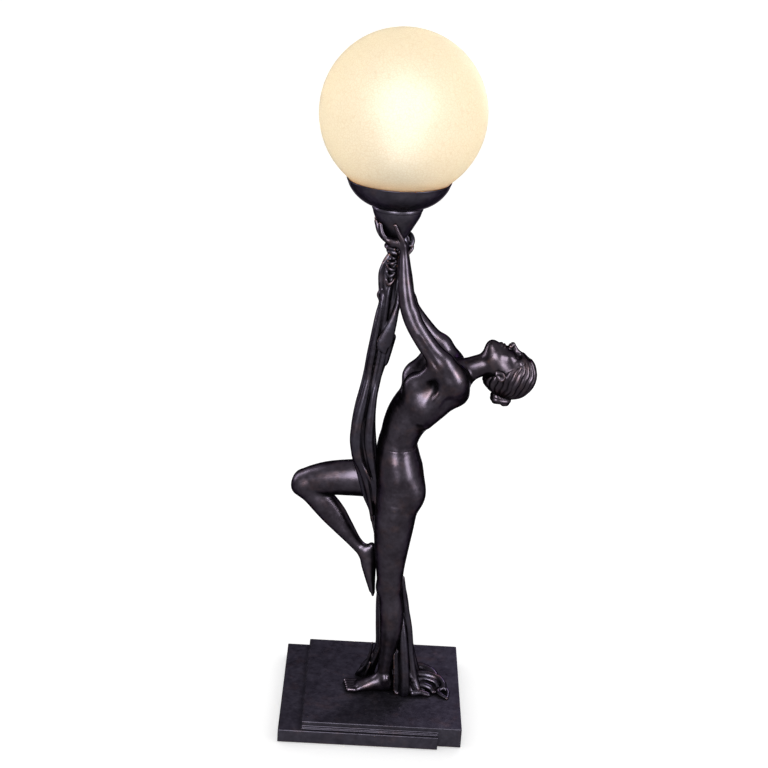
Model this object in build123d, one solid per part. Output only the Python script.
"""Figural table lamp: a cast dancer on a stepped plinth lifts a dish with a glass globe.

Frame: millimetres, +Z up.  The origin is the middle of the plinth's footprint, on the
underside of the felt.  The dancer faces -X, and her left side looks towards -Y.
"""

from build123d import *
import os
from math import cos, pi, radians, sin, sqrt

# ------------------------------------------------------------------ driving sizes, in mm

# plinth
plinth_length = 178.0
plinth_depth = 165.0
plinth_height = 21.0
plinth_wall = 5.0
plinth_roof = 6.0
step_height = 14.0
step_left = 23.0  # how far the low step stands out on the left
step_front = 6.0  # and along the front
step_short = 23.0  # the front step stops this far from the right end
ledge_rise = 2.0  # thin ledge between the step and the block, along the front
ledge_width = 2.0
edge_round = 0.8
boss_size = 12.0
felt_thickness = 1.0
felt_inset = 3.0
cover_thickness = 1.2
cover_land = 2.5  # how far the cover lies on the plinth's walls
cover_fit = 0.3
ballast_length = 122.0
ballast_depth = 112.0
ballast_thickness = 5.0
screw_radius = 1.5
screw_head_radius = 2.8
screw_head_height = 1.0
screw_length = 8.0
screw_fit = 0.15
bushing_x = 36.0
bushing_bore = 3.2
bushing_wall = 1.6
bushing_flange_radius = 6.6
bushing_flange = 1.5
bushing_fit = 0.1

# tube that carries the lead up inside the drapery, and the lamp's fasteners
tube_radius = 4.0
tube_bore = 3.0
tube_fit = 0.25
tube_bottom_x = 36.0
tube_bottom_y = -1.0
tube_tail = 7.0  # length below the plinth's roof
tube_corners = [  # height of the first corner, then x, y and share of the height to the knot
    26.0,
    (12.0, 10.4, 0.274),
    (-4.0, 5.6, 0.407),
    (-22.0, -5.0, 0.588),
    (-13.0, -1.0, 0.779),
]
tube_straight = 28.0  # upright length below the cup
tube_bends = [60.0, 70.0, 110.0, 110.0, 120.0, 60.0]
nut_flat = 5.6  # half the width across the flats
nut_height = 4.0
washer_radius = 9.0
washer_thickness = 1.4
leg_bolt_radius = 2.5
leg_bolt_length = 40.0
leg_bolt_head = 4.0
bolt_fit = 0.2
pin_radius = 2.0
pin_length = 18.0
pin_fit = 0.1

# cup, dish, lampholder, bulb and globe, all on the lamp's axis
axis_x = -3.4
cup_base_height = 467.0  # above the plinth's top
cup_height = 30.0
cup_foot_radius = 9.0
cup_rim_radius = 22.7
cup_wall = 2.0
dish_floor_radius = 22.9
dish_rim_radius = 47.5
dish_rise = 24.0
dish_wall = 1.8
dish_bulge = (0.62, 0.37)  # shares of the dish's widening and rise where its side is fullest
seat_width = 2.0
seat_thickness = 0.8  # at its inner edge
globe_radius = 75.0
globe_wall = 2.6
globe_mouth_radius = 38.0
globe_mouth_slope = 1.2  # the mouth's inner edge is narrower by this much
globe_gap = 0.3  # between the resting globe and its seat
holder_height = 36.0
holder_radius = 20.0
holder_foot_radius = 13.0
holder_wall = 2.0
holder_cap_height = 14.0
holder_skirt_wall = 1.5
holder_cap_straight = 3.0  # upright part of the lower half, below its rim
shell_radius = 14.2  # outside of the threaded shell
shell_wall = 0.5
bulb_radius = 30.0
bulb_cap_radius = 13.2
bulb_cap_height = 24.0
bulb_length = 108.0
bulb_glass_wall = 0.9
bulb_tip_height = 2.6
bulb_tip_radius = 5.0
bulb_tip_slope = 1.4
bulb_cap_wall = 0.4
bulb_cap_shoulder = 4.0  # height of the cap's sloping foot
bulb_neck_inset = 0.6  # the glass's neck is this much slimmer than the cap
bulb_neck_height = 6.0  # its straight part, from inside the cap
bulb_neck_flare = 4.6
contact_thickness = 0.6
contact_block_height = 6.0

# the dancer; lengths along a limb are shares, so that a limb follows its joints
waist_x = 10.2
waist_height = 264.0  # above the plinth's top, where the body's two castings meet
leg_stations = [  # down the standing leg: x, y, share of the waist's height, half width in x, in y
    (waist_x, 0.0, 1.0, 19.2, 22.5),
    (11.6, -0.5, 0.947, 21.8, 26.5),
    (15.2, -1.5, 0.875, 24.4, 29.5),
    (16.2, -4.5, 0.818, 24.0, 27.5),
    (13.2, -9.5, 0.754, 20.6, 20.5),
    (11.6, -11.0, 0.678, 19.4, 18.0),
    (11.0, -11.0, 0.595, 16.6, 15.5),
    (11.0, -10.5, 0.515, 13.8, 13.4),
    (11.8, -10.0, 0.451, 12.4, 12.4),
    (12.9, -10.0, 0.402, 11.4, 11.6),
    (15.3, -10.0, 0.333, 12.0, 12.0),
    (15.6, -9.5, 0.265, 11.2, 11.0),
    (14.4, -9.0, 0.182, 8.8, 8.4),
    (12.6, -9.0, 0.098, 7.2, 7.0),
    (12.2, -9.0, 0.045, 8.4, 7.4),
    (12.2, -9.0, 0.019, 9.2, 7.8),
]
foot_stations = [  # heel to toes: x, y, height of the middle, half height, half width
    (21.5, -8.2, 6.0, 6.2, 4.5),
    (17.0, -8.6, 8.0, 8.6, 7.6),
    (6.0, -9.4, 8.4, 9.0, 8.4),
    (-6.0, -10.0, 5.6, 6.6, 9.0),
    (-17.0, -10.4, 3.0, 4.4, 9.4),
    (-25.0, -10.2, 2.0, 3.2, 7.6),
]
toe_count = 5
toe_length = 5.0
toe_radius = 1.8
hip_below_waist = 43.0
thigh_stations = [  # out along the raised thigh: x, y, height over the hip, half height, half width
    (4.0, 11.0, 0.0, 20.0, 15.0),
    (-14.0, 13.5, -0.5, 19.2, 16.0),
    (-32.0, 16.0, -2.0, 18.4, 15.8),
    (-51.5, 19.5, -5.5, 17.1, 15.0),
    (-66.0, 22.0, -9.5, 15.4, 13.6),
    (-77.0, 23.6, -13.0, 13.0, 12.4),
]
knee_radius = 12.2
shin_stations = [  # back from the knee to the ankle
    (-75.0, 23.2, -16.0, 12.6, 11.6),
    (-60.0, 21.5, -29.5, 13.4, 12.0),
    (-47.0, 19.0, -43.5, 12.2, 11.2),
    (-35.6, 15.0, -56.3, 9.3, 9.0),
    (-23.8, 10.0, -69.3, 6.5, 6.6),
    (-14.5, 7.0, -77.0, 6.6, 6.0),
]
pointed_foot_stations = [  # heel to toes, against the standing knee
    (-8.6, 5.6, -68.5, 3.2, 4.0),
    (-9.6, 5.8, -74.0, 6.4, 5.6),
    (-9.2, 5.4, -85.0, 7.0, 6.2),
    (-7.6, 4.8, -99.0, 5.6, 6.6),
    (-5.0, 4.4, -111.0, 3.6, 6.4),
    (-3.6, 4.0, -119.0, 2.4, 4.8),
]
torso_stations = [  # up from the waist: x, y, height over the waist, half width in x, in y
    (waist_x, 0.0, 0.0, 19.2, 22.5),
    (12.4, 0.0, 8.0, 18.6, 22.0),
    (15.3, 0.0, 20.4, 20.0, 23.0),
    (19.9, 0.0, 31.4, 22.0, 25.5),
    (26.5, 0.0, 41.8, 24.6, 28.5),
    (35.5, 0.0, 53.0, 25.6, 30.5),
    (46.5, 0.0, 65.0, 24.0, 31.0),
    (57.0, 0.0, 73.0, 18.6, 26.0),
    (65.0, 0.0, 77.0, 13.6, 16.0),
    (74.0, 0.0, 80.0, 11.8, 12.2),
    (82.0, 0.0, 83.4, 11.0, 11.4),
    (92.0, 0.0, 87.0, 11.0, 11.4),
]
bust_place = (26.0, 14.5, 60.5)  # over the waist, as are the head's three forms
bust_radius = 12.0
head_place = (113.0, 0.0, 78.5)
head_radii = (24.0, 19.0, 22.5)  # towards the crown, across, towards the face
head_tip_back = 27.0  # degrees that the crown drops below level
jaw_place = (99.0, 0.0, 91.5)
jaw_radii = (17.0, 13.5, 14.0)
bun_place = (104.0, 0.0, 56.0)
bun_radii = (12.5, 12.0, 10.0)
shoulder_place = (58.0, 25.5, 78.0)  # over the waist; the left arm takes -y, the right arm y
shoulder_radius = 12.3
elbow_share = 0.52  # of the height from the shoulder to the wrist
elbow_reach = 15.5  # from the lamp's axis in x
elbow_side = 22.5
wrist_reach = 8.0
wrist_side = 13.4
wrist_below_cup = 9.0
arm_sections = [  # 0 at the shoulder, 1 at the elbow, 2 at the wrist; half width in x, in y
    (0.0, 12.0, 11.5),
    (0.22, 11.4, 10.8),
    (0.45, 9.6, 9.4),
    (0.75, 8.8, 8.8),
    (1.0, 8.1, 8.2),
    (1.22, 7.8, 7.8),
    (1.5, 6.5, 6.5),
    (1.78, 5.0, 5.0),
    (2.0, 4.0, 4.4),
]
elbow_softness = 0.35  # how far the bend spreads along the arm
palm_radius = 5.0
palm_reach = 4.5  # from the wrist towards the fingers
palm_below_cup = 4.0
finger_radius = 2.1
finger_angles = [(207.0, 197.0), (222.0, 213.0), (237.0, 230.0), (251.0, 247.0)]
finger_reach = 15.0  # how far the fingertips climb up the cup
thumb_angle = 285.0
thumb_reach = 12.0

# cast drapery
fold_count = 6
fold_depth = 0.10  # of the drapery's half width
knot_below_cup = 15.0
knot_stations = [  # the gathers that the hands hold: x, y, height over the drapery's top
    (-3.8, 0.0, 0.0, 8.4, 8.0),
    (-1.8, 0.5, 7.0, 12.4, 10.0),
    (-0.6, 0.5, 13.0, 11.0, 9.0),
]
upper_drape_stations = [  # x, y, share of the height from the plinth to the knot
    (-4.6, 0.0, 1.0, 8.0, 7.6),
    (-6.8, 0.0, 0.965, 9.4, 8.6),
    (-6.4, 0.0, 0.920, 9.4, 8.8),
    (-7.4, 0.0, 0.872, 10.6, 9.2),
    (-10.0, -0.5, 0.823, 10.6, 9.0),
    (-13.8, -1.0, 0.770, 10.3, 8.8),
    (-18.4, -2.4, 0.712, 9.6, 8.4),
    (-22.4, -4.4, 0.644, 11.0, 8.8),
    (-22.4, -5.6, 0.593, 12.8, 9.0),
    (-19.6, -5.4, 0.544, 11.6, 8.6),
    (-14.4, -2.4, 0.496, 9.4, 8.0),
    (-8.6, 2.4, 0.451, 8.4, 7.6),
    (-3.8, 6.0, 0.407, 8.4, 7.4),
]
lower_drape_stations = [
    (-3.8, 6.0, 0.407, 8.4, 7.4),
    (3.4, 8.6, 0.345, 9.0, 7.8),
    (11.0, 10.4, 0.281, 11.6, 8.6),
    (17.0, 9.6, 0.221, 15.0, 9.6),
    (22.0, 6.4, 0.155, 15.2, 11.4),
    (27.5, 2.4, 0.088, 13.8, 14.0),
    (33.0, -0.8, 0.035, 15.6, 17.0),
    (38.0, -3.0, 0.0, 18.6, 20.2),
]
side_fold_stations = [  # the thin fold that shows in front of the shin
    (2.0, 13.0, 0.248, 7.0, 4.0),
    (-1.0, 12.5, 0.155, 6.6, 4.6),
    (-3.4, 13.0, 0.066, 7.4, 6.0),
    (-6.0, 16.0, 0.0, 12.0, 10.0),
]
outer_pool_stations = [  # cloth curled on the plinth: x, y, middle height, half height, half width
    (40.0, 8.0, 4.0, 9.0, 8.0),
    (49.0, 22.0, 3.0, 9.0, 7.5),
    (60.0, 26.5, 3.0, 8.0, 7.0),
    (67.0, 15.0, 3.0, 8.5, 7.0),
    (68.0, 0.0, 3.0, 8.0, 6.5),
    (70.0, -11.0, 2.5, 7.0, 5.5),
    (75.5, -19.0, 1.5, 3.5, 3.5),
]
inner_pool_stations = [
    (40.0, -4.0, 3.0, 8.0, 7.0),
    (52.0, 4.0, 3.0, 8.5, 6.5),
    (60.0, -1.0, 3.0, 7.0, 5.5),
    (63.0, -13.0, 2.0, 5.0, 4.5),
]

# ------------------------------------------------------------------ sizes that follow

top = plinth_height
roof_under = plinth_height - plinth_roof
block_left = -plinth_length / 2 + step_left
block_front = -plinth_depth / 2 + step_front
block_right = plinth_length / 2
block_back = plinth_depth / 2
cavity_left = block_left + plinth_wall
cavity_front = block_front + plinth_wall
cavity_right = block_right - plinth_wall
cavity_back = block_back - plinth_wall
cover_top = felt_thickness + cover_thickness
bushing_height = (cover_top + roof_under) / 2 + 1
cup_base = top + cup_base_height
cup_rim = cup_base + cup_height
dish_rim = cup_rim + dish_rise
seat_outer = dish_rim_radius - dish_wall
seat_inner = seat_outer - seat_width
globe_z = dish_rim + sqrt(globe_radius**2 - seat_outer**2)
seat_bottom = globe_z - sqrt((globe_radius + globe_gap) ** 2 - seat_inner**2) - seat_thickness
holder_base = cup_rim + dish_wall + washer_thickness
holder_top = holder_base + holder_height
contact_z = holder_base + holder_wall + contact_block_height + contact_thickness
bulb_base = contact_z + bulb_tip_height
tube_top = holder_base + holder_wall
bulb_top = contact_z + bulb_length
hip_height = waist_height - hip_below_waist
knot_height = cup_base_height - knot_below_cup
wrist_height = cup_base_height - wrist_below_cup
leg_x = leg_stations[-1][0]
leg_y = leg_stations[-1][1]


def point(place):
    """A place whose height counts from the plinth's top."""
    return Vector(place[0], place[1], top + place[2])


def lifted(stations, base=0.0, span=1.0):
    """Stations with their heights in mm above the plinth's top."""
    return [(x, y, base + span * rise, *halves) for x, y, rise, *halves in stations]


def box(low, high):
    """A block between two opposite corners."""
    size = [b - a for a, b in zip(low, high)]
    middle = [(a + b) / 2 for a, b in zip(low, high)]
    return Pos(*middle) * Box(*size)


def disc(x, y, low, high, radius, bore=0.0):
    """An upright cylinder from low to high, with a hole if bore is given."""
    body = Pos(x, y, (low + high) / 2) * Cylinder(radius, high - low)
    if bore > 0:
        body -= Pos(x, y, (low + high) / 2) * Cylinder(bore, 2 * (high - low))
    return body


def hexagon(x, y, low, high, half_flats, bore):
    """A nut or a bolt's head, with a hole if bore is given."""
    outline = Pos(x, y, low) * RegularPolygon(half_flats, 6, major_radius=False)
    body = extrude(outline, high - low)
    if bore > 0:
        body -= Pos(x, y, (low + high) / 2) * Cylinder(bore, 2 * (high - low))
    return body


def turned(profile):
    """A solid of revolution about the lamp's axis, from lines that close in the XZ plane."""
    face = Plane.XZ * make_face(profile)
    return Pos(axis_x, 0, 0) * revolve(face, Axis.Z)


def section_plane(stations, index, lying, level):
    """The plane of a station's section: square to the limb, or level at a cut end."""
    place = point(stations[index])
    before = point(stations[max(index - 1, 0)])
    after = point(stations[min(index + 1, len(stations) - 1)])
    along = after - before
    if level:
        sign = 1 if along.Z > 0 else -1
        return Plane(place, x_dir=(sign, 0, 0), z_dir=(0, 0, sign))
    if lying:
        return Plane(place, x_dir=(0, 0, 1), z_dir=(along.X, along.Y, 0))
    return Plane(place, x_dir=Vector(0, 1, 0).cross(along), z_dir=along)


def limb(stations, lying=False, level=(False, False), folds=0, depth=0.0):
    """A smooth loft through one section at each station.

    A section is an ellipse, or a lobed ring where cloth hangs in lengthwise folds.  Lying
    cloth and feet take the first half width as their half height.  level says which ends
    are cut level.
    """
    faces = []
    last = len(stations) - 1
    for index, (_, _, _, half_x, half_y) in enumerate(stations):
        cut = (index == 0 and level[0]) or (index == last and level[1])
        plane = section_plane(stations, index, lying, cut)
        if folds == 0:
            faces.append(plane * Ellipse(half_x, half_y))
            continue
        ring = []
        for step in range(4 * folds):
            angle = 2 * pi * step / (4 * folds)
            swell = 1 + depth * cos(folds * angle)
            ring.append((half_x * swell * cos(angle), half_y * swell * sin(angle)))
        faces.append(plane * make_face(Spline(*ring, periodic=True)))
    return loft(faces)


def egg(middle, radii, tip=0.0):
    """An ellipsoid at a place above the plinth, tipped about Y by so many degrees."""
    ball = scale(Sphere(1.0), by=radii)
    return Pos(*point(middle)) * Rot(0, tip, 0) * ball


def rod(start, end, start_radius, end_radius):
    """A tapered rod with a round tip, for a finger."""
    along = end - start
    plane = Plane(start, z_dir=along)
    length = along.length
    body = plane.offset(length / 2) * Cone(start_radius, end_radius, length)
    return body + Pos(*end) * Sphere(end_radius)


def biggest(shape):
    """The largest solid of a shape, as a part of its own."""
    return Part() + max(shape.solids(), key=lambda solid: solid.volume)


def flip(shape):
    """The same shape on the dancer's other side."""
    return mirror(shape, Plane.XZ)


# ------------------------------------------------------------------ plinth and its inside


def screw_places():
    """The four corner bosses of the plinth, where the cover's screws go in."""
    inset = boss_size / 2
    return [
        (x, y)
        for x in (cavity_left + inset, cavity_right - inset)
        for y in (cavity_front + inset, cavity_back - inset)
    ]


def make_plinth():
    """The hollow casting: a block with a low step on its left and along its front."""
    low = felt_thickness
    step_right = block_right - step_short
    front = -plinth_depth / 2
    body = box((block_left, block_front, low), (block_right, block_back, top))
    body += box((-plinth_length / 2, front, low), (block_left, block_back, step_height))
    body += box((block_left, front, low), (step_right, block_front, step_height))
    ledge_top = step_height + ledge_rise
    body += box((block_left, block_front - ledge_width, low), (step_right, block_front, ledge_top))
    body = fillet(body.edges().filter_by(lambda e: e.center().Z > low + 0.1), edge_round)
    body -= box((cavity_left, cavity_front, low), (cavity_right, cavity_back, roof_under))
    for x, y in screw_places():
        half = boss_size / 2
        boss = box((x - half, y - half, cover_top), (x + half, y + half, roof_under))
        body += boss
        hole_top = felt_thickness + screw_length + screw_head_height
        body -= disc(x, y, cover_top, hole_top, screw_radius)
    body -= box(
        (cavity_left - cover_land, cavity_front - cover_land, low),
        (cavity_right + cover_land, cavity_back + cover_land, cover_top),
    )
    body -= tube_way
    body -= disc(leg_x, leg_y, roof_under - 1, top + 1, leg_bolt_radius + bolt_fit)
    bore = Pos(bushing_x, block_back, bushing_height) * Rot(90, 0, 0)
    body -= bore * Cylinder(bushing_bore + bushing_wall + bushing_fit, 4 * plinth_wall)
    return biggest(body)


def make_cover():
    """The steel sheet that closes the plinth from below."""
    inset = cover_land - cover_fit
    sheet = box(
        (cavity_left - inset, cavity_front - inset, felt_thickness),
        (cavity_right + inset, cavity_back + inset, cover_top),
    )
    for x, y in screw_places():
        sheet -= disc(x, y, 0, 2 * cover_top, screw_radius + screw_fit)
        sheet -= disc(x, y, 0, felt_thickness + screw_head_height / 2, screw_head_radius + screw_fit)
    return sheet


def make_cover_screws():
    """Four countersunk screws, level with the cover."""
    screws = Part()
    head_top = felt_thickness + screw_head_height / 2
    for x, y in screw_places():
        screws += disc(x, y, felt_thickness, head_top, screw_head_radius)
        screws += disc(x, y, head_top, felt_thickness + screw_length, screw_radius)
    return screws


def make_felt():
    """The pad that the lamp stands on."""
    return box(
        (-plinth_length / 2 + felt_inset, block_front + felt_inset, 0),
        (block_right - felt_inset, block_back - felt_inset, felt_thickness),
    )


def make_ballast():
    """An iron slab that lies on the cover and steadies the lamp."""
    x = (cavity_left + cavity_right) / 2
    y = (cavity_front + cavity_back) / 2
    half_x = ballast_length / 2
    half_y = ballast_depth / 2
    slab_top = cover_top + ballast_thickness
    return box((x - half_x, y - half_y, cover_top), (x + half_x, y + half_y, slab_top))


def make_bushing():
    """The flanged sleeve in the plinth's back wall, where a lead goes in."""
    outer = bushing_bore + bushing_wall
    sleeve = Cylinder(outer, plinth_wall + bushing_flange, align=(Align.CENTER,) * 2 + (Align.MIN,))
    flange = Cylinder(bushing_flange_radius, bushing_flange, align=(Align.CENTER,) * 2 + (Align.MIN,))
    body = sleeve + flange - Cylinder(bushing_bore, 4 * plinth_wall)
    return Pos(bushing_x, block_back + bushing_flange, bushing_height) * Rot(90, 0, 0) * body


# ------------------------------------------------------------------ tube and fasteners


def tube_route():
    """The tube's middle line: up behind the calf, between the thighs and to the lamp's axis."""
    corners = [
        Vector(tube_bottom_x, tube_bottom_y, roof_under - tube_tail),
        Vector(tube_bottom_x, tube_bottom_y, top + tube_corners[0]),
        *[point((x, y, share * knot_height)) for x, y, share in tube_corners[1:]],
        Vector(axis_x, 0, cup_base - tube_straight),
        Vector(axis_x, 0, tube_top),
    ]
    return FilletPolyline(*corners, radius=tube_bends)


def tube_solid(radius):
    """A round bar of the given radius along the tube's route."""
    route = tube_route()
    end = Plane(route @ 0, z_dir=route % 0)
    return sweep(end * Circle(radius), path=route)


def make_tube():
    """The threaded steel tube, open at both ends."""
    return tube_solid(tube_radius) - tube_solid(tube_bore)


def make_washers():
    """Washers under the plinth's roof, for the tube and for the leg's bolt."""
    low = roof_under - washer_thickness
    tube_one = disc(tube_bottom_x, tube_bottom_y, low, roof_under, washer_radius, tube_radius + tube_fit)
    bolt_one = disc(leg_x, leg_y, low, roof_under, washer_radius, leg_bolt_radius + bolt_fit)
    return tube_one + bolt_one


def make_tube_nuts():
    """The nut under the plinth and the nut that holds the cup."""
    high = roof_under - washer_thickness
    bore = tube_radius
    nuts = hexagon(tube_bottom_x, tube_bottom_y, high - nut_height, high, nut_flat, bore)
    low = cup_base + cup_wall
    return nuts + hexagon(axis_x, 0, low, low + nut_height, nut_flat, bore)


def make_leg_bolt():
    """The bolt that comes up through the plinth into the standing leg."""
    under = roof_under - washer_thickness
    head = hexagon(leg_x, leg_y, under - leg_bolt_head, under, 0.9 * nut_flat, 0)
    return head + disc(leg_x, leg_y, under, under + leg_bolt_length, leg_bolt_radius)


def pin(place, along, radius, length):
    """A dowel centred on a place."""
    return Plane(place, z_dir=along) * Cylinder(radius, length)


def pin_places():
    """Where two castings meet on a dowel: waist, neck, hip and both shoulders."""
    neck_end = point(torso_line[-1])
    shoulder = arm_point(0)
    return [
        (point(torso_line[0]), Vector(0, 0, 1)),
        (neck_end, neck_end - point(torso_line[-2])),
        (point(thigh_line[1]), Vector(1, 0, 0)),
        (shoulder, Vector(0, -1, 0)),
        (Vector(shoulder.X, -shoulder.Y, shoulder.Z), Vector(0, 1, 0)),
    ]


# ------------------------------------------------------------------ cup, dish, globe


def cup_outline(radius_change=0.0):
    """The outside of the tulip cup: points from its foot to its rim."""
    foot = (cup_foot_radius + radius_change, cup_base)
    low = (cup_foot_radius + radius_change + 2.6, cup_base + 4.0)
    middle = (0.74 * cup_rim_radius + radius_change, cup_base + 0.44 * cup_height)
    rim = (cup_rim_radius + radius_change, cup_rim)
    return foot, Spline(foot, low, middle, rim), rim


def make_cup():
    """The cup that the hands hold, turned from metal, with a hole for the tube."""
    foot, side, rim = cup_outline()
    inner_foot = (cup_foot_radius - cup_wall, cup_base + cup_wall)
    inner_low = (cup_foot_radius + 0.4, cup_base + 5.2)
    inner_middle = (0.74 * cup_rim_radius - cup_wall, cup_base + 0.44 * cup_height)
    inner_rim = (cup_rim_radius - cup_wall, cup_rim)
    bore = tube_radius + tube_fit
    profile = [
        side,
        Line(rim, inner_rim),
        Spline(inner_rim, inner_middle, inner_low, inner_foot),
        Line(inner_foot, (bore, inner_foot[1])),
        Line((bore, inner_foot[1]), (bore, cup_base)),
        Line((bore, cup_base), foot),
    ]
    return turned(profile)


def cup_envelope():
    """The space that the cup fills, as a plug without its hollow."""
    foot, side, rim = cup_outline()
    profile = [
        side,
        Line(rim, (0, cup_rim)),
        Line((0, cup_rim), (0, cup_base)),
        Line((0, cup_base), foot),
    ]
    return turned(profile)


def dish_side(out_share, up_share):
    """A point on the dish's outside, at shares of its widening and of its rise."""
    widening = dish_rim_radius - dish_floor_radius
    return (dish_floor_radius + out_share * widening, cup_rim + up_share * dish_rise)


def make_dish():
    """The shallow dish: flat floor on the cup, round side, and a rebate for the seat ring."""
    start = (dish_floor_radius, cup_rim)
    bulge = dish_side(*dish_bulge)
    rim = (dish_rim_radius, dish_rim)
    inner_start = (dish_floor_radius - 1.0, cup_rim + dish_wall)
    inner_bulge = (bulge[0] - 1.1, bulge[1] + 1.5)
    shelf = (seat_inner, seat_bottom)
    bore = tube_radius + tube_fit
    profile = [
        ThreePointArc(start, bulge, rim),
        Line(rim, (seat_outer, dish_rim)),
        Line((seat_outer, dish_rim), (seat_outer, seat_bottom)),
        Line((seat_outer, seat_bottom), shelf),
        ThreePointArc(shelf, inner_bulge, inner_start),
        Line(inner_start, (bore, cup_rim + dish_wall)),
        Line((bore, cup_rim + dish_wall), (bore, cup_rim)),
        Line((bore, cup_rim), start),
    ]
    return turned(profile)


def sphere_height(radius, ball):
    """Height of the lower half of a ball about the globe's middle, at a radius."""
    return globe_z - sqrt(ball**2 - radius**2)


def make_seat():
    """The soft ring in the dish's rim that the glass rests on."""
    ball = globe_radius + globe_gap
    inner = seat_inner
    outer = seat_outer
    middle = (inner + outer) / 2
    points = [(r, sphere_height(r, ball)) for r in (inner, middle, outer)]
    profile = [
        Line((inner, seat_bottom), (outer, seat_bottom)),
        Line((outer, seat_bottom), points[2]),
        ThreePointArc(points[2], points[1], points[0]),
        Line(points[0], (inner, seat_bottom)),
    ]
    return turned(profile)


def make_globe():
    """The glass globe, with its mouth at the bottom."""
    inner_radius = globe_radius - globe_wall
    mouth = (globe_mouth_radius, sphere_height(globe_mouth_radius, globe_radius))
    narrow = globe_mouth_radius - globe_mouth_slope
    inner_mouth = (narrow, sphere_height(narrow, inner_radius))
    profile = [
        ThreePointArc(mouth, (globe_radius, globe_z), (0, globe_z + globe_radius)),
        Line((0, globe_z + globe_radius), (0, globe_z + inner_radius)),
        ThreePointArc((0, globe_z + inner_radius), (inner_radius, globe_z), inner_mouth),
        Line(inner_mouth, mouth),
    ]
    return turned(profile)


# ------------------------------------------------------------------ lampholder and bulb


def make_holder_cap():
    """The lower half of the lampholder, screwed to the tube's end."""
    base = holder_base
    high = base + holder_cap_height
    inner = holder_radius - holder_wall
    bore = tube_radius
    profile = Polyline(
        (bore, base),
        (holder_foot_radius, base),
        (holder_radius, high - holder_cap_straight),
        (holder_radius, high),
        (inner, high),
        (inner, high - 0.8 * holder_cap_straight),
        (holder_foot_radius - holder_wall, base + holder_wall),
        (bore, base + holder_wall),
        close=True,
    )
    return turned(profile)


def make_holder_skirt():
    """The upper half of the lampholder, an open sleeve round the threaded shell."""
    low = holder_base + holder_cap_height
    inner = holder_radius - holder_skirt_wall
    profile = Polyline(
        (inner, low),
        (holder_radius, low),
        (holder_radius, holder_top),
        (inner, holder_top),
        close=True,
    )
    return turned(profile)


def make_contact_block():
    """The ceramic disc inside the lampholder that carries its contacts."""
    base = holder_base + holder_wall
    high = base + contact_block_height
    foot = holder_foot_radius - holder_wall - 0.2
    wide = min(holder_radius - holder_wall - 0.4, foot + 0.45 * contact_block_height)
    profile = Polyline((0, base), (foot, base), (wide, high), (0, high), close=True)
    return turned(profile)


def make_screw_shell():
    """The threaded brass shell that the bulb screws into."""
    low = holder_base + holder_wall + contact_block_height
    inner = shell_radius - shell_wall
    foot = bulb_tip_radius + 2.0
    profile = Polyline(
        (foot, low),
        (shell_radius, low),
        (shell_radius, holder_top),
        (inner, holder_top),
        (inner, low + shell_wall),
        (foot, low + shell_wall),
        close=True,
    )
    return turned(profile)


def make_centre_contact():
    """The springy brass tongue under the bulb's tip."""
    low = holder_base + holder_wall + contact_block_height
    return disc(axis_x, 0, low, low + contact_thickness, bulb_tip_radius - 0.6)


def make_bulb_tip():
    """The bulb's centre contact in its insulator."""
    low = contact_z
    high = contact_z + bulb_tip_height
    profile = Polyline(
        (0, low),
        (bulb_tip_radius - bulb_tip_slope, low),
        (bulb_tip_radius, high),
        (0, high),
        close=True,
    )
    return turned(profile)


def make_bulb_cap():
    """The bulb's threaded metal cap."""
    low = bulb_base
    high = bulb_base + bulb_cap_height
    inner = bulb_cap_radius - bulb_cap_wall
    foot = bulb_tip_radius + 1
    profile = Polyline(
        (0, low),
        (foot, low),
        (bulb_cap_radius, low + bulb_cap_shoulder),
        (bulb_cap_radius, high),
        (inner, high),
        (inner, low + bulb_cap_shoulder + bulb_cap_wall / 2),
        (foot, low + bulb_cap_wall),
        (0, low + bulb_cap_wall),
        close=True,
    )
    return turned(profile)


def make_bulb_glass():
    """The bulb's envelope, a thin pear of glass."""
    neck_z = bulb_base + bulb_cap_height - bulb_cap_shoulder
    straight_z = neck_z + bulb_neck_height
    ball_z = bulb_top - bulb_radius
    neck = bulb_cap_radius - bulb_neck_inset
    wall = bulb_glass_wall
    flare_z = straight_z + 0.36 * (ball_z - neck_z)
    profile = [
        Line((neck, neck_z), (neck, straight_z)),
        Spline(
            (neck, straight_z),
            (neck + bulb_neck_flare, flare_z),
            (bulb_radius, ball_z),
            tangents=[(0, 1), (0, 1)],
        ),
        ThreePointArc(
            (bulb_radius, ball_z),
            (bulb_radius * cos(pi / 4), ball_z + bulb_radius * sin(pi / 4)),
            (0, bulb_top),
        ),
        Line((0, bulb_top), (0, bulb_top - wall)),
        ThreePointArc(
            (0, bulb_top - wall),
            ((bulb_radius - wall) * cos(pi / 4), ball_z + (bulb_radius - wall) * sin(pi / 4)),
            (bulb_radius - wall, ball_z),
        ),
        Spline(
            (bulb_radius - wall, ball_z),
            (neck + bulb_neck_flare - wall, flare_z),
            (neck - wall, straight_z),
            tangents=[(0, -1), (0, -1)],
        ),
        Line((neck - wall, straight_z), (neck - wall, neck_z)),
        Line((neck - wall, neck_z), (neck, neck_z)),
    ]
    return turned(profile)


# ------------------------------------------------------------------ the dancer's castings


def under_plinth_top():
    """The space under the plinth's top, which cuts the figure's underside flat."""
    return box((-plinth_length, -plinth_depth, -top), (plinth_length, plinth_depth, top))


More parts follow.
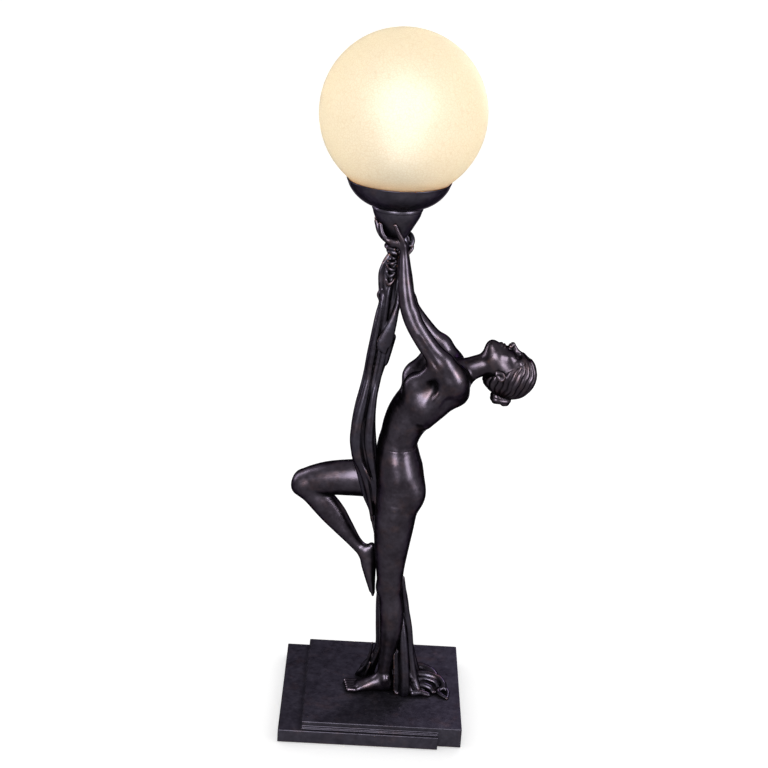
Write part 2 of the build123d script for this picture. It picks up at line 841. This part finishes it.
def make_lower_body():
    """Pelvis, standing leg and foot, with holes for the pins, the bolt and the tube."""
    body = limb(leg_line, level=(True, True)) + limb(foot_stations, lying=True)
    toe_x, toe_y, _, _, half_width = foot_stations[-1]
    spread = 2 * half_width / toe_count
    for toe in range(toe_count):
        y = toe_y - half_width + spread * (toe + 0.5)
        reach = toe_length * (0.5 + 0.5 * toe / (toe_count - 1))
        root = point((toe_x + toe_length, y, toe_radius))
        body += rod(root, root - Vector(toe_length + reach, 0, 0), 1.2 * toe_radius, toe_radius)
    body -= under_plinth_top()
    body -= disc(leg_x, leg_y, 0, roof_under + leg_bolt_length, leg_bolt_radius + bolt_fit)
    return biggest(body - tube_way - pin_holes)


def make_raised_leg():
    """The bent leg: thigh, knee, shin and pointed foot against the standing knee."""
    knee = point(thigh_line[-1])
    body = limb(thigh_line) + Pos(*knee) * Sphere(knee_radius) + limb(shin_line)
    body += limb(pointed_foot_line)
    return biggest(body - limb(leg_line, level=(True, True)) - tube_way - pin_holes)


def make_torso():
    """Waist, chest, shoulders and neck."""
    body = limb(torso_line, level=(True, False))
    for side in (-1, 1):
        x, y, rise = bust_place
        body += Pos(*point((x, side * y, waist_height + rise))) * Sphere(bust_radius)
    return biggest(body - pin_holes)


def make_head(torso):
    """Head with its face turned up, and the hair in a low bun."""
    body = Part()
    forms = [(head_place, head_radii), (jaw_place, jaw_radii), (bun_place, bun_radii)]
    for (x, y, rise), radii in forms:
        body += egg((x, y, waist_height + rise), radii, head_tip_back)
    return biggest(body - torso - pin_holes)


def arm_point(along):
    """A place on the left arm: 0 at the shoulder, 1 at the elbow, 2 at the wrist."""
    shoulder = Vector(shoulder_place[0], -shoulder_place[1], waist_height + shoulder_place[2])
    wrist = Vector(axis_x + wrist_reach, -wrist_side, wrist_height)
    elbow_height = shoulder.Z + elbow_share * (wrist.Z - shoulder.Z)
    elbow = Vector(axis_x + elbow_reach, -elbow_side, elbow_height)
    upper = shoulder + (elbow - shoulder) * min(along, 1)
    place = upper + (wrist - elbow) * max(along - 1, 0)
    near = max(1 - abs(along - 1) / elbow_softness, 0)
    inward = (shoulder + wrist) * 0.5 - elbow
    place += inward * (near**2 * elbow_softness / 4)
    return Vector(place.X, place.Y, top + place.Z)


def cup_side(angle, above_foot, stand_off):
    """A point beside the cup: angle about the axis, height above its foot, and distance off."""
    share = max(above_foot / cup_height, 0.0)
    radius = cup_foot_radius + (cup_rim_radius - cup_foot_radius) * share**0.8 + stand_off
    turn = radians(angle)
    return Vector(axis_x + radius * cos(turn), radius * sin(turn), cup_base + above_foot)


def make_arm(torso):
    """The left arm, raised, with its hand under the cup."""
    line = []
    for along, half_x, half_y in arm_sections:
        place = arm_point(along)
        line.append((place.X, place.Y, place.Z - top, half_x, half_y))
    body = limb(line) + Pos(*arm_point(0)) * Sphere(shoulder_radius)
    wrist = arm_point(2)
    palm = Vector(wrist.X - palm_reach, wrist.Y + 1, cup_base - palm_below_cup)
    body += rod(wrist - Vector(0, 0, palm_radius), palm, 0.9 * palm_radius, palm_radius)
    for root_angle, tip_angle in finger_angles:
        root = cup_side(root_angle, -finger_radius, finger_radius)
        tip = cup_side(tip_angle, finger_reach, finger_radius)
        body += rod(palm, root, 0.7 * palm_radius, 1.25 * finger_radius)
        body += rod(root, tip, 1.25 * finger_radius, 0.9 * finger_radius)
    thumb_root = cup_side(thumb_angle, -finger_radius, 1.4 * finger_radius)
    thumb_tip = cup_side(thumb_angle - 14, thumb_reach, finger_radius)
    body += rod(thumb_root, thumb_tip, 1.4 * finger_radius, finger_radius)
    return biggest(body - cup_envelope() - torso - pin_holes)


def make_knot(arms):
    """The gathered cloth between the wrists."""
    line = lifted(knot_stations, knot_height)
    body = limb(line, level=(True, True), folds=fold_count, depth=fold_depth)
    return biggest(body - cup_envelope() - tube_way - arms)


def make_upper_drape(figure):
    """The long drapery, from the knot to the gap between the thighs."""
    line = lifted(upper_drape_stations, 0, knot_height)
    body = limb(line, level=(True, True), folds=fold_count, depth=fold_depth)
    return biggest(body - tube_way - figure)


def make_lower_drape(figure):
    """The drapery behind the standing leg, down to its hem on the plinth."""
    line = lifted(lower_drape_stations, 0, knot_height)
    body = limb(line, level=(True, True), folds=fold_count, depth=fold_depth)
    body += limb(lifted(side_fold_stations, 0, knot_height), level=(True, True))
    return biggest(body - tube_way - figure)


def make_pool(lower_drape, figure):
    """The end of the drapery, curled on the plinth beside the foot."""
    body = limb(outer_pool_stations, lying=True) + limb(inner_pool_stations, lying=True)
    return biggest(body - under_plinth_top() - tube_way - lower_drape - figure)


# ------------------------------------------------------------------ build and write

leg_line = lifted(leg_stations, 0, waist_height)
thigh_line = lifted(thigh_stations, hip_height)
shin_line = lifted(shin_stations, hip_height)
pointed_foot_line = lifted(pointed_foot_stations, hip_height)
torso_line = lifted(torso_stations, waist_height)
tube_way = tube_solid(tube_radius + tube_fit)
pin_holes = Part()
pins = Part()
for place, along in pin_places():
    pin_holes += pin(place, along, pin_radius + pin_fit, pin_length + 2 * pin_fit)
    pins += pin(place, along, pin_radius, pin_length)

lower_body = make_lower_body()
raised_leg = make_raised_leg()
torso = make_torso()
left_arm = make_arm(torso)
right_arm = flip(left_arm)
legs = lower_body + raised_leg
upper_drape = make_upper_drape(legs + torso + left_arm + right_arm)
lower_drape = make_lower_drape(legs)
washer_bore = tube_radius + tube_fit

parts = {
    "plinth": make_plinth(),
    "bottom_cover": make_cover(),
    "cover_screws": make_cover_screws(),
    "felt_pad": make_felt(),
    "ballast_slab": make_ballast(),
    "lead_bushing": make_bushing(),
    "lead_tube": make_tube(),
    "fixing_washers": make_washers(),
    "tube_nuts": make_tube_nuts(),
    "leg_bolt": make_leg_bolt(),
    "casting_pins": pins,
    "lower_body": lower_body,
    "raised_leg": raised_leg,
    "torso": torso,
    "head": make_head(torso),
    "left_arm": left_arm,
    "right_arm": right_arm,
    "drape_knot": make_knot(left_arm + right_arm),
    "upper_drape": upper_drape,
    "lower_drape": lower_drape,
    "drape_pool": make_pool(lower_drape, legs),
    "socket_cup": make_cup(),
    "globe_dish": make_dish(),
    "seat_ring": make_seat(),
    "glass_globe": make_globe(),
    "dish_washer": disc(axis_x, 0, cup_rim + dish_wall, holder_base, washer_radius, washer_bore),
    "holder_cap": make_holder_cap(),
    "holder_skirt": make_holder_skirt(),
    "contact_block": make_contact_block(),
    "screw_shell": make_screw_shell(),
    "centre_contact": make_centre_contact(),
    "bulb_tip": make_bulb_tip(),
    "bulb_cap": make_bulb_cap(),
    "bulb_glass": make_bulb_glass(),
}

os.makedirs("parts", exist_ok=True)
for name, part in parts.items():
    export_step(part, f"parts/{name}.step")
    print(name, len(part.solids()), round(part.volume))
